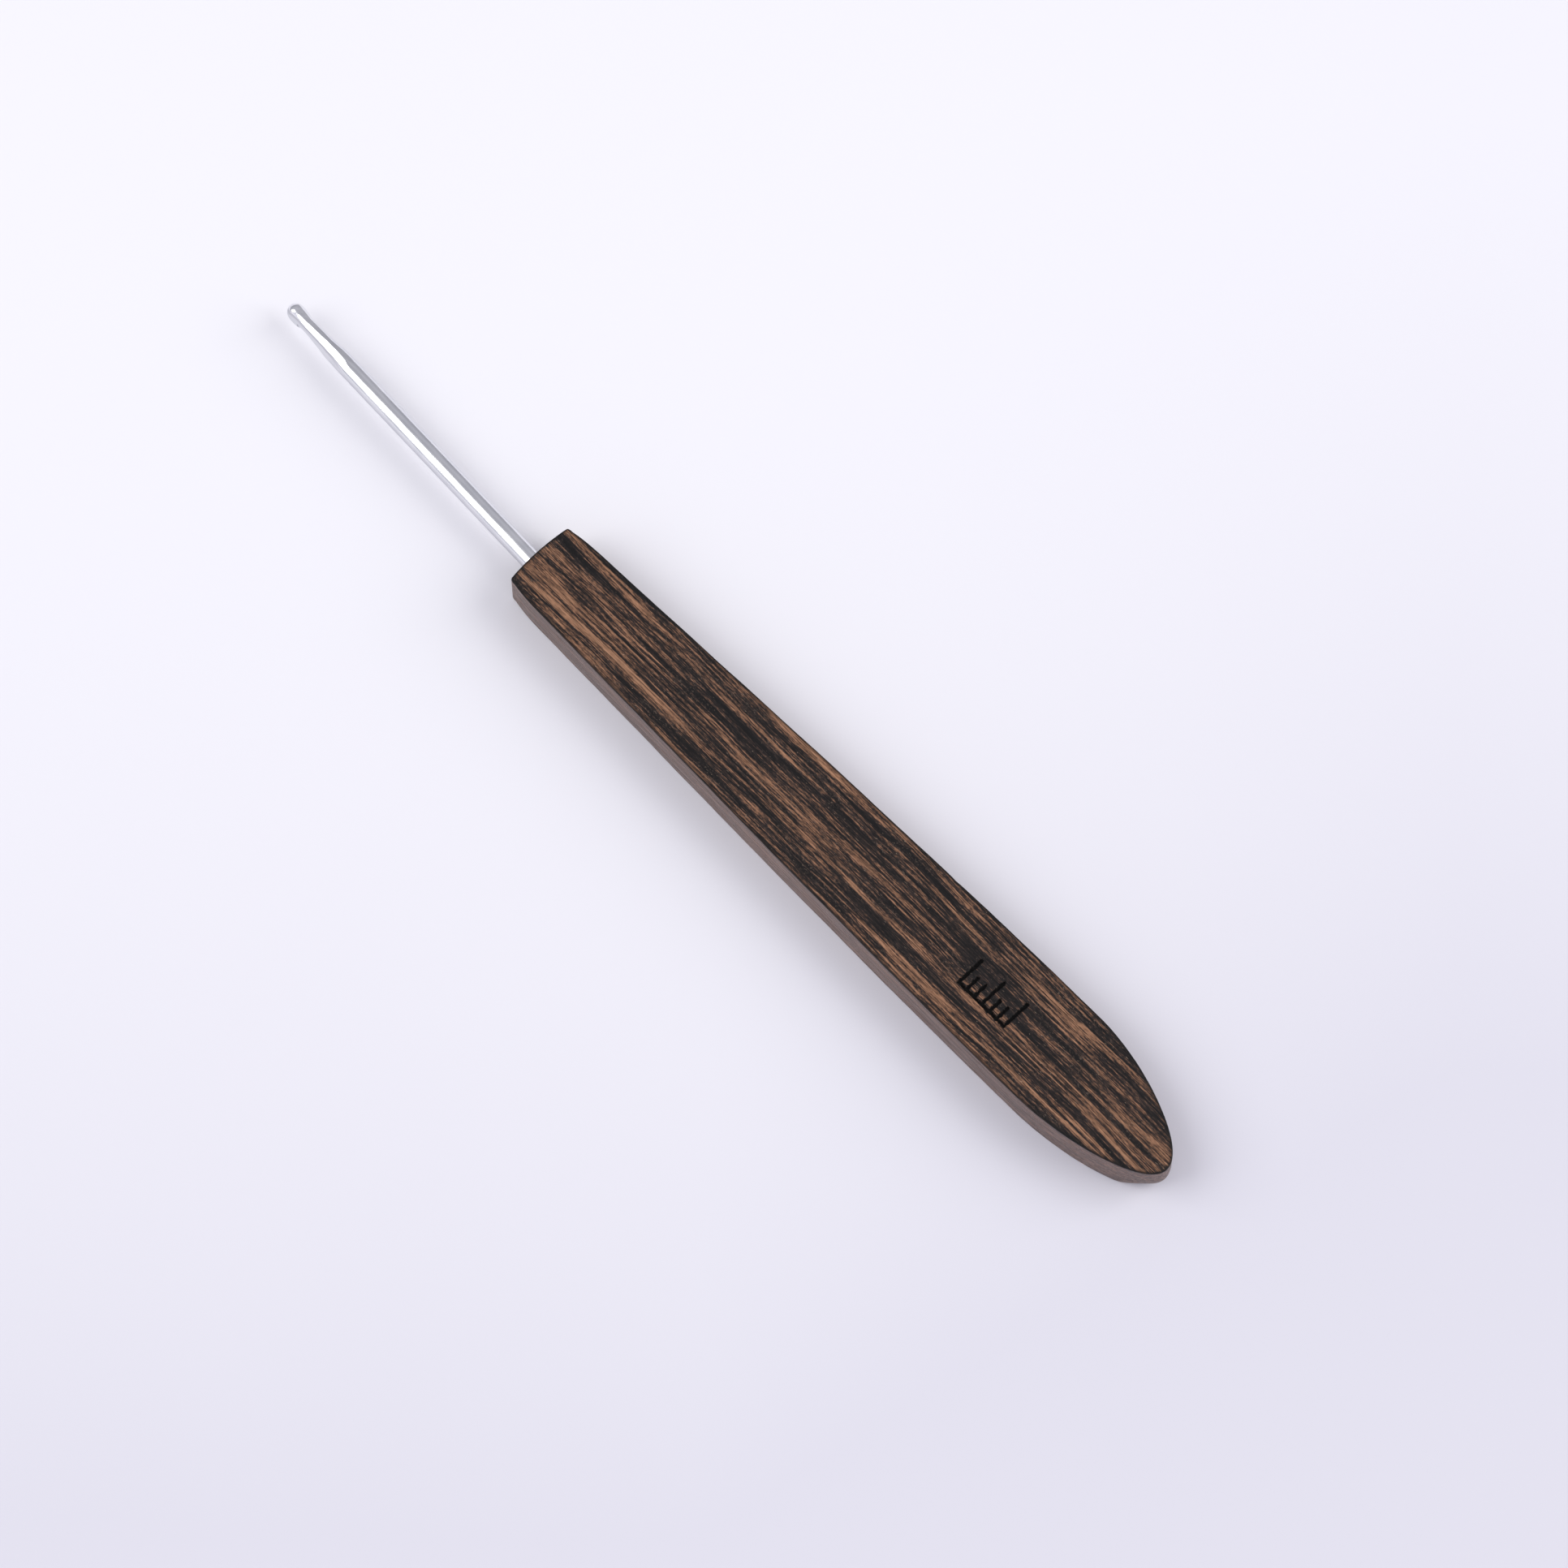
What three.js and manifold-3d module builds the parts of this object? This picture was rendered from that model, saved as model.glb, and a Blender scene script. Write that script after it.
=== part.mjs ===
// A hand crochet hook: a 3 mm metal hook glued into a flat wooden handle.
// Millimetres, +Z up. +X runs from the tip of the hook to the nose of the handle, the handle lies
// on z = 0, and the origin is under the middle of the object's length.
import * as THREE from "three";
import { mergeVertices } from "three/addons/utils/BufferGeometryUtils.js";
import Module from "manifold-3d";

const wasm = await Module();
wasm.setup();

const AROUND = 32; // facets round the rod, the glue and the bore
const SIDE_STEPS = 14; // facets along each curve of the handle's sides
const ROD_STEPS = 9; // facets along each curve of the hook

// The handle: a plank whose sides swell gently from the front to a widest point and then run into
// a blunt nose, shaped by hand and so a little off centre. Distances along it are measured from its
// front end.
const HANDLE = {
  length: 127,
  thickness: 7.5,
  frontHalfWidth: 5.55,
  frontBow: 0.4,
  shoulderX: 7,
  shoulderHalfWidth: 6.2,
  widestX: 104.5,
  halfWidth: 8.28,
  noseOffset: -0.75,
  easedEdge: 0.3,
};
// How the sides bend between those points: shares of each stretch's length, and of the half-widths.
const FRONT_BEND = { along: 0.3, out: 0.97 };
const SWELL_BEND = { start: 0.32, out: 0.107, end: 0.65 };
const NOSE_BEND = { start: 0.42, out: 0.515 };

// The hook. Distances along it are measured back from its tip, heights from its centre line.
const ROD = {
  radius: 1.5,
  reach: 53.4, // from the tip to the front of the handle
  tang: 32, // inside the handle
  headRadius: 1.36,
  headWidestX: 1.7,
  neckRadius: 1.15,
  neckX: 4,
  taperEndX: 12.5,
  endChamfer: 0.4,
};
// How the head, neck and taper run into each other: shares of the head, and lengths of run-out.
const HEAD_BEND = { rise: 0.6, along: 0.45 };
const NECK_RUN = { fromHead: 0.9, toNeck: 1 };
const TAPER_RUN = 3;
const LEAN = THREE.MathUtils.degToRad(2.4); // the rod isn't quite in line with the handle
const TIP_SIDEWAYS = 1.6;
const HALF_LENGTH = (HANDLE.length + ROD.reach * Math.cos(LEAN)) / 2;

// The mouth is cut into the underside of the head, and its floor ramps back out to the full rod. It
// looks down, but rolled a little way round the rod towards -Y.
const MOUTH = {
  lipX: 3.3,
  lipHeight: -1.26,
  lipFlare: 0.2,
  backX: 2.7,
  backHeight: -0.62,
  floorHeight: -0.5,
  floorEndX: 4.4,
  floorEndHeight: -0.52,
  runOut: { length: 0.3, depth: 0.05 },
  below: -2.4, // clear of the rod's underside
};
const LIP_EASE = { along: 0.3, up: 0.4 };
const BACK_EASE = { along: 0.35, down: 0.2 };
const FLOOR_EASE = 0.3;
const RAMP_EASE = { start: 2.4, dip: 0.2, end: 3.3, up: 0.38 };
const ROLL = THREE.MathUtils.degToRad(30);

// The glue fills the drilled bore round the tang, with a thin clearance to both.
const BORE = { radius: 1.85, depth: 34, point: 1.1, overrun: 2 };
const CLEARANCE = 0.05;
const GLUE_RECESS = 0.3;

// The mark, burnt into the top face: a short plain rule, every third tick longer.
const MARK = {
  centreX: 92,
  stroke: 0.5,
  depth: 0.35,
  height: 5,
  tickPitch: 1.5,
  ticks: 7,
  shortTick: 2.3,
  longTickEvery: 3,
};

const MATERIALS = {
  wenge: new THREE.MeshStandardMaterial({ color: 0x4a3528, roughness: 0.5, metalness: 0 }),
  metal: new THREE.MeshStandardMaterial({ color: 0xd6d8dc, roughness: 0.28, metalness: 1 }),
  glue: new THREE.MeshStandardMaterial({ color: 0xb9a27a, roughness: 0.35, metalness: 0 }),
};

function solidFrom(geometry) {
  const bare = geometry.clone();
  bare.deleteAttribute("normal");
  bare.deleteAttribute("uv");
  const merged = mergeVertices(bare, 1e-4);
  return new wasm.Manifold(
    new wasm.Mesh({
      numProp: 3,
      vertProperties: merged.attributes.position.array,
      triVerts: new Uint32Array(merged.index.array),
    }),
  );
}

function geometryFrom(solid) {
  const mesh = solid.getMesh();
  const geometry = new THREE.BufferGeometry();
  geometry.setAttribute("position", new THREE.BufferAttribute(mesh.vertProperties, 3));
  geometry.setIndex(new THREE.BufferAttribute(mesh.triVerts, 1));
  geometry.computeVertexNormals();
  return geometry;
}

// A profile of (distance, radius) points turned round the X axis.
function turned(profile) {
  const points = profile.map(([distance, radius]) => new THREE.Vector2(radius, distance));
  return new THREE.LatheGeometry(points, AROUND).rotateZ(-Math.PI / 2);
}

function named(name, geometry, material) {
  const mesh = new THREE.Mesh(geometry, material);
  mesh.name = name;
  return mesh;
}

// One side of the handle's outline, from the front corner to the nose. towards is 1 for the side at
// +Y and -1 for the other.
function handleSide(towards) {
  const { length, frontBow, shoulderX, widestX, noseOffset } = HANDLE;
  const corner = towards * HANDLE.frontHalfWidth;
  const shoulder = towards * HANDLE.shoulderHalfWidth;
  const widest = towards * HANDLE.halfWidth;
  const swell = widestX - shoulderX;
  const nose = length - widestX;
  const side = new THREE.Path();
  side.moveTo(frontBow, corner);
  side.quadraticCurveTo(shoulderX * FRONT_BEND.along, shoulder * FRONT_BEND.out, shoulderX, shoulder);
  const swellStart = [shoulderX + swell * SWELL_BEND.start, shoulder + widest * SWELL_BEND.out];
  side.bezierCurveTo(...swellStart, shoulderX + swell * SWELL_BEND.end, widest, widestX, widest);
  const noseStart = [widestX + nose * NOSE_BEND.start, widest];
  side.bezierCurveTo(...noseStart, length, noseOffset + widest * NOSE_BEND.out, length, noseOffset);
  return side.getPoints(SIDE_STEPS);
}

function handleBlank() {
  const side = handleSide(1);
  const otherSide = handleSide(-1).slice(0, -1).reverse();
  const shape = new THREE.Shape([...side, ...otherSide]);
  shape.quadraticCurveTo(-HANDLE.frontBow, 0, HANDLE.frontBow, HANDLE.frontHalfWidth);
  const edge = HANDLE.easedEdge;
  return new THREE.ExtrudeGeometry(shape, {
    depth: HANDLE.thickness - 2 * edge,
    bevelThickness: edge,
    bevelSize: edge,
    bevelOffset: -edge,
    bevelSegments: 2,
    curveSegments: 6,
  }).translate(0, 0, edge);
}

// A groove with round ends, cut down from the top face.
function straightGroove(x0, y0, x1, y1) {
  const angle = Math.atan2(y1 - y0, x1 - x0);
  const half = MARK.stroke / 2;
  const shape = new THREE.Shape();
  shape.absarc(x1, y1, half, angle - Math.PI / 2, angle + Math.PI / 2, false);
  shape.absarc(x0, y0, half, angle + Math.PI / 2, angle - Math.PI / 2, false);
  return grooveFrom(shape);
}

function grooveFrom(shape) {
  const groove = new THREE.ExtrudeGeometry(shape, {
    depth: 2 * MARK.depth,
    bevelEnabled: false,
    curveSegments: 8,
  });
  return solidFrom(groove.translate(MARK.centreX, 0, HANDLE.thickness - MARK.depth));
}

function shortRule() {
  const { tickPitch, ticks, height, stroke, shortTick, longTickEvery } = MARK;
  const start = (-tickPitch * (ticks - 1)) / 2;
  const foot = (stroke - height) / 2;
  const head = (height - stroke) / 2;
  let rule = straightGroove(start, foot, -start, foot);
  for (let i = 0; i < ticks; i++) {
    const x = start + i * tickPitch;
    const top = i % longTickEvery === 0 ? head : foot + shortTick;
    rule = rule.add(straightGroove(x, foot, x, top));
  }
  return rule;
}

// The bore, in the hook's own frame.
function boreCutter() {
  const mouth = ROD.reach - BORE.overrun;
  const end = ROD.reach + BORE.depth;
  return turned([
    [mouth, 0],
    [mouth, BORE.radius],
    [end - BORE.point, BORE.radius],
    [end, 0],
  ]);
}

function handleSolid(hookPlacement) {
  const bore = boreCutter().applyMatrix4(hookPlacement).translate(HANDLE.length - HALF_LENGTH, 0, 0);
  return solidFrom(handleBlank()).subtract(solidFrom(bore)).subtract(shortRule());
}

// The turned shape of the hook before its mouth is cut.
function rodBlank() {
  const { radius, headRadius, headWidestX, neckRadius, neckX, taperEndX, endChamfer } = ROD;
  const end = ROD.reach + ROD.tang;
  const outline = new THREE.Path();
  outline.moveTo(0, 0);
  const headBend = [0, headRadius * HEAD_BEND.rise, headWidestX * HEAD_BEND.along, headRadius];
  outline.bezierCurveTo(...headBend, headWidestX, headRadius);
  const neckBend = [headWidestX + NECK_RUN.fromHead, headRadius, neckX - NECK_RUN.toNeck, neckRadius];
  outline.bezierCurveTo(...neckBend, neckX, neckRadius);
  outline.bezierCurveTo(neckX + TAPER_RUN, neckRadius, taperEndX - TAPER_RUN, radius, taperEndX, radius);
  outline.lineTo(end - endChamfer, radius);
  outline.lineTo(end, radius - endChamfer);
  outline.lineTo(end, 0);
  return turned(outline.getPoints(ROD_STEPS).map((point) => [point.x, point.y]));
}

// The space of the mouth, seen from the side: a lip that leans back over it, a round floor, and the
// long ramp out to the rod's underside.
function mouthCutter() {
  const { lipX, lipHeight, backX, backHeight, floorHeight, floorEndX, floorEndHeight } = MOUTH;
  const rampEndX = ROD.taperEndX + MOUTH.runOut.length;
  const rampEndHeight = -ROD.radius - MOUTH.runOut.depth;
  const shape = new THREE.Shape();
  shape.moveTo(lipX + MOUTH.lipFlare, MOUTH.below);
  shape.lineTo(lipX, lipHeight);
  const lipBend = [lipX - LIP_EASE.along, lipHeight + LIP_EASE.up];
  const backBend = [backX - BACK_EASE.along, backHeight - BACK_EASE.down];
  shape.bezierCurveTo(...lipBend, ...backBend, backX, backHeight);
  const floorBend = [backX + FLOOR_EASE, floorHeight, lipX + FLOOR_EASE, floorHeight];
  shape.bezierCurveTo(...floorBend, floorEndX, floorEndHeight);
  const rampStart = [floorEndX + RAMP_EASE.start, floorEndHeight - RAMP_EASE.dip];
  const rampEnd = [rampEndX - RAMP_EASE.end, rampEndHeight + RAMP_EASE.up];
  shape.bezierCurveTo(...rampStart, ...rampEnd, rampEndX, rampEndHeight);
  shape.lineTo(rampEndX, MOUTH.below);
  shape.closePath();
  const width = 4 * ROD.radius;
  return new THREE.ExtrudeGeometry(shape, { depth: width, bevelEnabled: false, curveSegments: ROD_STEPS })
    .translate(0, 0, -width / 2)
    .rotateX(Math.PI / 2 - ROLL);
}

function glueSleeve() {
  const inner = ROD.radius + CLEARANCE;
  const outer = BORE.radius - CLEARANCE;
  const mouth = ROD.reach + GLUE_RECESS;
  const tangEnd = ROD.reach + ROD.tang + CLEARANCE;
  const boreEnd = ROD.reach + BORE.depth - 2 * CLEARANCE;
  return turned([
    [tangEnd, 0],
    [tangEnd, inner],
    [mouth, inner],
    [mouth, outer],
    [boreEnd - BORE.point, outer],
    [boreEnd, 0],
  ]);
}

const hook = new THREE.Group();
hook.position.set(-HALF_LENGTH, TIP_SIDEWAYS, HANDLE.thickness / 2);
hook.rotation.z = -LEAN;
hook.updateMatrix();
const rodSolid = solidFrom(rodBlank()).subtract(solidFrom(mouthCutter()));
hook.add(named("hook_rod", geometryFrom(rodSolid), MATERIALS.metal));
hook.add(named("glue_sleeve", glueSleeve(), MATERIALS.glue));

const handle = named("handle", geometryFrom(handleSolid(hook.matrix)), MATERIALS.wenge);
handle.position.x = HALF_LENGTH - HANDLE.length;

const crochetHook = new THREE.Group();
crochetHook.add(hook, handle);

export default crochetHook;
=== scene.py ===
import math

import bpy
import numpy as np
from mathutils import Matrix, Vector, kdtree, noise


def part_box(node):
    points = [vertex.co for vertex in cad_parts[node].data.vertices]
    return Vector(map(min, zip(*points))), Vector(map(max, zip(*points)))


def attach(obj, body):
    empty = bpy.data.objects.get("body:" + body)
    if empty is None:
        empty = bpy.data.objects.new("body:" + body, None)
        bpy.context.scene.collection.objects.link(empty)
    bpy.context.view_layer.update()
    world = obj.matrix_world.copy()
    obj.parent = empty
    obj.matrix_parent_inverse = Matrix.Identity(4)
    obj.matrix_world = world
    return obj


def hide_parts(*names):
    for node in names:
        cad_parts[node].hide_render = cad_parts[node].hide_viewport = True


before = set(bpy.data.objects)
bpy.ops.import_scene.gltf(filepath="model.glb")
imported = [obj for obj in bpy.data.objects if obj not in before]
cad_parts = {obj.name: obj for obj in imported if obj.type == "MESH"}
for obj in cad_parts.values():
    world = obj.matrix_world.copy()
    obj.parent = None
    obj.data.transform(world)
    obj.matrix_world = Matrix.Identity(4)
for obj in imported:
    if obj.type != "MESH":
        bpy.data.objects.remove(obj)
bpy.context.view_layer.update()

MM = 0.001

# Sizes in millimetres. Lengths along the handle are measured from its front end, lengths along
# the hook from its tip, and y and z are the frame's own.
HANDLE_LO, HANDLE_HI = (v * 1000 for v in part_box("handle"))
ROD_LO, ROD_HI = (v * 1000 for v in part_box("hook_rod"))
LENGTH = HANDLE_HI.x - HANDLE_LO.x
THICK = HANDLE_HI.z - HANDLE_LO.z
MID_Z = THICK / 2
FRONT_BOW = 0.4
FRONT_HALF = 5.55
SHOULDER_X, SHOULDER_HALF = 7.0, 6.2
WIDEST_X, WIDEST_HALF = 104.5, 8.28
NOSE_Y = -0.75

ROD_R = 1.5
HEAD_R, HEAD_X = 1.36, 1.7
NECK_R, NECK_X = 1.15, 4.0
TAPER_END = 12.5
LEAN = math.radians(2.4)
ROLL = math.radians(30)
TIP = Vector((ROD_LO.x, 1.6, MID_Z))
REACH = 53.4
TANG = 32.0
BORE_R, BORE_DEPTH = 1.85, 34.0
BORE_FIT = 0.96  # the drawn bore against the CAD bore
CORNER = 0.28  # rounding of the handle's front corners, seen from above

# The marked rule on the top face.
MARK_X = 92.0
MARK_PITCH = 1.5
MARK_TICKS = 7
MARK_REACH = 2.25
MARK_STROKE = 0.49
MARK_DEPTH = 0.42


# ---------------------------------------------------------------- small helpers

def srgb(r, g, b):
    """A linear colour from 0-255 screen values."""
    def one(c):
        c /= 255
        return c / 12.92 if c <= 0.04045 else ((c + 0.055) / 1.055) ** 2.4
    return (one(r), one(g), one(b), 1.0)


def smooth(a, b, v):
    """A soft step from 0 at a to 1 at b."""
    t = np.clip((v - a) / (b - a), 0, 1)
    return t * t * (3 - 2 * t)


def wave(v, step, seed):
    """Smooth one-dimensional noise, about -1 to 1, with features a step long."""
    v = np.atleast_1d(np.asarray(v, float))
    flat = [noise.noise(Vector((x / step, seed * 7.31, seed * 3.17))) for x in v.ravel()]
    return np.array(flat).reshape(v.shape) * 1.6


def wave2(x, y, step_x, step_y, seed):
    """Smooth noise over the plan, about -1 to 1."""
    flat = [
        noise.noise(Vector((a / step_x, b / step_y, seed * 5.3)))
        for a, b in zip(x.ravel(), y.ravel())
    ]
    return np.array(flat).reshape(x.shape) * 1.6


def eased_line(points, v):
    """A line through the points with its corners rounded off."""
    at, to = np.array(points).T
    near = [np.interp(v + shift, at, to) for shift in np.linspace(-0.45, 0.45, 7)]
    return np.mean(near, axis=0)


def bezier(points, n=200):
    """A quadratic or cubic curve through its control points, as n + 1 points."""
    t = np.linspace(0, 1, n + 1)[:, None]
    p = np.array(points, float)
    if len(p) == 3:
        return (1 - t) ** 2 * p[0] + 2 * (1 - t) * t * p[1] + t ** 2 * p[2]
    a, b, c = (1 - t) ** 3, 3 * (1 - t) ** 2 * t, 3 * (1 - t) * t ** 2
    return a * p[0] + b * p[1] + c * p[2] + t ** 3 * p[3]


def build(name, verts, faces, materials, smooth_faces=True):
    """A mesh object in metres from vertices in millimetres, in the row frame."""
    mesh = bpy.data.meshes.new(name)
    mesh.from_pydata((np.asarray(verts) * MM).tolist(), [], faces)
    for m in materials:
        mesh.materials.append(m)
    mesh.polygons.foreach_set("use_smooth", [smooth_faces] * len(mesh.polygons))
    mesh.validate()
    mesh.update()
    obj = bpy.data.objects.new(name, mesh)
    bpy.context.scene.collection.objects.link(obj)
    return obj


def add_shade(obj, label, values):
    """A value for each vertex, for a material to read."""
    layer = obj.data.attributes.new(label, "FLOAT", "POINT")
    layer.data.foreach_set("value", values.astype(np.float32))


def grid_faces(first, rows, cols, flip=False, wrap=False):
    """Quads of a rows x cols block of vertices that starts at index first."""
    out = []
    for i in range(rows - 1):
        for j in range(cols if wrap else cols - 1):
            k = (j + 1) % cols
            a, b = first + i * cols + j, first + i * cols + k
            c, d = a + cols, b + cols
            out.append((a, c, d, b) if flip else (a, b, d, c))
    return out


class Nodes:
    """Short spellings for building a material's node tree."""

    def __init__(self, name):
        self.mat = bpy.data.materials.new(name)
        self.mat.use_nodes = True
        self.tree = self.mat.node_tree
        self.shader = self.tree.nodes["Principled BSDF"]

    def new(self, kind, **props):
        n = self.tree.nodes.new(kind)
        for k, v in props.items():
            setattr(n, k, v)
        return n

    def put(self, socket, value):
        if isinstance(value, bpy.types.NodeSocket):
            self.tree.links.new(value, socket)
        elif value is not None:
            socket.default_value = value

    def set(self, name, value):
        self.put(self.shader.inputs[name], value)

    def coords(self, scale=(1, 1, 1), turn=(0, 0, 0), at=(0, 0, 0)):
        """Object coordinates in millimetres, turned, then scaled."""
        tex = self.new("ShaderNodeTexCoord")
        turned = self.new("ShaderNodeMapping")
        turned.inputs["Scale"].default_value = (1000, 1000, 1000)
        self.put(turned.inputs["Vector"], tex.outputs["Object"])
        turned.inputs["Rotation"].default_value = turn
        turned.inputs["Location"].default_value = at
        return self.scaled(turned.outputs["Vector"], scale)

    def scaled(self, vector, scale):
        m = self.new("ShaderNodeMapping")
        m.inputs["Scale"].default_value = scale
        self.put(m.inputs["Vector"], vector)
        return m.outputs["Vector"]

    def noise(self, vector, detail=2.0, rough=0.5, bend=0.0):
        n = self.new("ShaderNodeTexNoise")
        self.put(n.inputs["Vector"], vector)
        n.inputs["Scale"].default_value = 1.0
        n.inputs["Detail"].default_value = detail
        n.inputs["Roughness"].default_value = rough
        n.inputs["Distortion"].default_value = bend
        return n.outputs["Fac"]

    def math(self, op, a, b=None, clamp=False):
        n = self.new("ShaderNodeMath", operation=op, use_clamp=clamp)
        self.put(n.inputs[0], a)
        if b is not None:
            self.put(n.inputs[1], b)
        return n.outputs[0]

    def range(self, value, lo, hi, to_lo=0.0, to_hi=1.0, kind="SMOOTHSTEP"):
        n = self.new("ShaderNodeMapRange", interpolation_type=kind)
        for i, v in enumerate((value, lo, hi, to_lo, to_hi)):
            self.put(n.inputs[i], v)
        return n.outputs[0]

    def ramp(self, value, stops):
        n = self.new("ShaderNodeValToRGB")
        r = n.color_ramp
        while len(r.elements) < len(stops):
            r.elements.new(0.5)
        for e, (at, colour) in zip(r.elements, stops):
            e.position, e.color = at, colour
        self.put(n.inputs[0], value)
        return n.outputs["Color"]

    def mix(self, fac, a, b, blend="MIX"):
        n = self.new("ShaderNodeMix", data_type="RGBA", blend_type=blend)
        self.put(n.inputs[0], fac)
        self.put(n.inputs[6], a)
        self.put(n.inputs[7], b)
        return n.outputs[2]

    def attribute(self, name):
        return self.new("ShaderNodeAttribute", attribute_name=name).outputs["Fac"]

    def bump(self, height, distance, strength=1.0, after=None):
        n = self.new("ShaderNodeBump")
        self.put(n.inputs["Height"], height)
        n.inputs["Distance"].default_value = distance * MM
        n.inputs["Strength"].default_value = strength
        if after is not None:
            self.put(n.inputs["Normal"], after)
        return n.outputs["Normal"]


# ---------------------------------------------------------------- materials

def wenge():
    """Dark striped wood, charred in the mark, with its side walls painted paler as a painted sheen of
    the floor they reflect.
    """
    g = Nodes("wenge")
    p = g.coords(turn=(math.radians(27), 0, math.radians(0.6)), at=(11, 3, 5))
    # Growth layers sway a little as they run along the handle.
    sway = g.noise(g.scaled(p, (0.03, 0.12, 0.16)), detail=2.0)
    lift = g.new("ShaderNodeCombineXYZ")
    g.put(lift.inputs["Z"], g.math("MULTIPLY", g.math("SUBTRACT", sway, 0.5), 1.1))
    bent = g.new("ShaderNodeVectorMath", operation="ADD")
    g.put(bent.inputs[0], p)
    g.put(bent.inputs[1], lift.outputs[0])
    q = bent.outputs[0]

    zones = g.noise(g.scaled(q, (0.012, 0.10, 0.34)), detail=1.0)
    streaks = g.noise(g.scaled(q, (0.024, 0.36, 1.8)), detail=2.0, rough=0.5, bend=0.12)
    lines = g.noise(g.scaled(q, (0.04, 1.2, 5.2)), detail=2.0, rough=0.65)
    flecks = g.noise(g.scaled(q, (0.16, 2.4, 6.5)), detail=2.0, rough=0.65)
    ticks = g.noise(g.scaled(q, (1.5, 4.0, 7.0)), detail=2.0, rough=0.6)
    fibre = g.noise(g.scaled(q, (0.8, 9.0, 16.0)), detail=2.0)
    pores = g.noise(g.scaled(q, (0.16, 7.0, 8.0)), detail=0.0)
    glints = g.noise(g.coords((2.2, 9.0, 9.0)), detail=0.0)
    across_grain = g.coords((2.4, 4.2, 4.2), turn=(0, 0, math.radians(24)))
    glint_squiggles = g.noise(across_grain, detail=2.0, rough=0.7, bend=0.6)
    glint_patches = g.noise(g.coords((0.10, 0.36, 0.36), at=(3, 8, 1)), detail=1.0)
    along = g.new("ShaderNodeSeparateXYZ")
    g.put(along.inputs[0], p)

    tone = g.range(along.outputs["X"], -40, 105, 0.508, 0.472, "LINEAR")
    layers = (
        (zones, 0.20), (streaks, 0.78), (lines, 0.64),
        (flecks, 0.50), (ticks, 0.36), (fibre, 0.28),
    )
    for layer, share in layers:
        tone = g.math("ADD", tone, g.math("MULTIPLY", g.math("SUBTRACT", layer, 0.5), share))
    colour = g.ramp(tone, [
        (0.34, srgb(12, 9, 10)),
        (0.45, srgb(37, 29, 27)),
        (0.50, srgb(60, 45, 38)),
        (0.55, srgb(95, 68, 52)),
        (0.63, srgb(125, 90, 68)),
        (0.78, srgb(140, 104, 80)),
    ])
    # Fine pale lines of tissue run through the dark layers too.
    tissue = g.math("ADD", flecks, g.math("SUBTRACT", fibre, 0.5))
    fine = g.range(tissue, 0.34, 0.72, 0.76, 1.32, "LINEAR")
    shade = g.new("ShaderNodeCombineXYZ")
    for axis in "XYZ":
        g.put(shade.inputs[axis], fine)
    colour = g.mix(1.0, colour, shade.outputs[0], "MULTIPLY")
    open_pores = g.range(pores, 0.60, 0.68)
    colour = g.mix(g.math("MULTIPLY", open_pores, 0.6), colour, srgb(20, 15, 14))
    # Short pale squiggles across the grain, in patches, are painted glints: the pores' rough edges
    # catching the light, painted into the colour.
    painted_glint_squiggles = g.math("MULTIPLY", g.range(glint_squiggles, 0.58, 0.70), g.range(glint_patches, 0.46, 0.62))
    colour = g.mix(g.math("MULTIPLY", painted_glint_squiggles, 0.55), colour, srgb(98, 84, 74))
    # Painted glints: sparse pale specks painted into the colour as small highlights.
    pale = g.range(glints, 0.81, 0.86)
    colour = g.mix(g.math("MULTIPLY", pale, 0.4), colour, srgb(170, 148, 128))
    # Painted sheen: the side walls are painted paler, standing in for the bright floor they reflect at a
    # grazing angle; they are also made smoother.
    sides = g.attribute("smooth_wall_and_sheen")
    wall_grain = g.range(g.math("ADD", lines, g.math("MULTIPLY", fibre, 0.4)), 0.5, 0.95, 0.0, 1.0, "LINEAR")
    sheen_lit_wall = g.mix(wall_grain, srgb(81, 65, 61), srgb(151, 123, 112))
    colour = g.mix(g.math("MULTIPLY", sides, 0.62), colour, sheen_lit_wall)
    # The edge line is mixed towards near black.
    edge = g.attribute("edge")
    colour = g.mix(g.math("MULTIPLY", edge, 0.9), colour, srgb(7, 6, 7))
    burnt = g.attribute("burn")
    char = g.noise(g.coords((7, 7, 7)), detail=2.0)
    charred = g.ramp(char, [(0.40, srgb(1, 1, 1)), (0.78, srgb(12, 10, 10))])
    colour = g.mix(burnt, colour, charred)
    g.set("Base Color", colour)

    rough = g.range(flecks, 0.3, 0.7, 0.42, 0.54)
    rough = g.math("SUBTRACT", rough, g.math("MULTIPLY", sides, 0.16))
    rough = g.math("ADD", rough, g.math("MULTIPLY", open_pores, 0.2))
    g.set("Roughness", g.math("ADD", rough, g.math("MULTIPLY", burnt, 0.5), clamp=True))
    g.set("Specular IOR Level", 0.24)

    scratches = g.noise(g.coords((0.9, 9.0, 4.0), turn=(0, 0, math.radians(38))), detail=1.0)
    height = g.math("SUBTRACT", g.math("MULTIPLY", fibre, 0.5), g.math("MULTIPLY", open_pores, 0.9))
    cinders = g.math("MULTIPLY", char, burnt)
    for layer, share in ((flecks, 0.7), (lines, 0.4), (scratches, 0.2), (cinders, 2.2)):
        height = g.math("ADD", height, g.math("MULTIPLY", layer, share))
    g.set("Normal", g.bump(height, 0.035, 0.9))
    return g.mat


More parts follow.
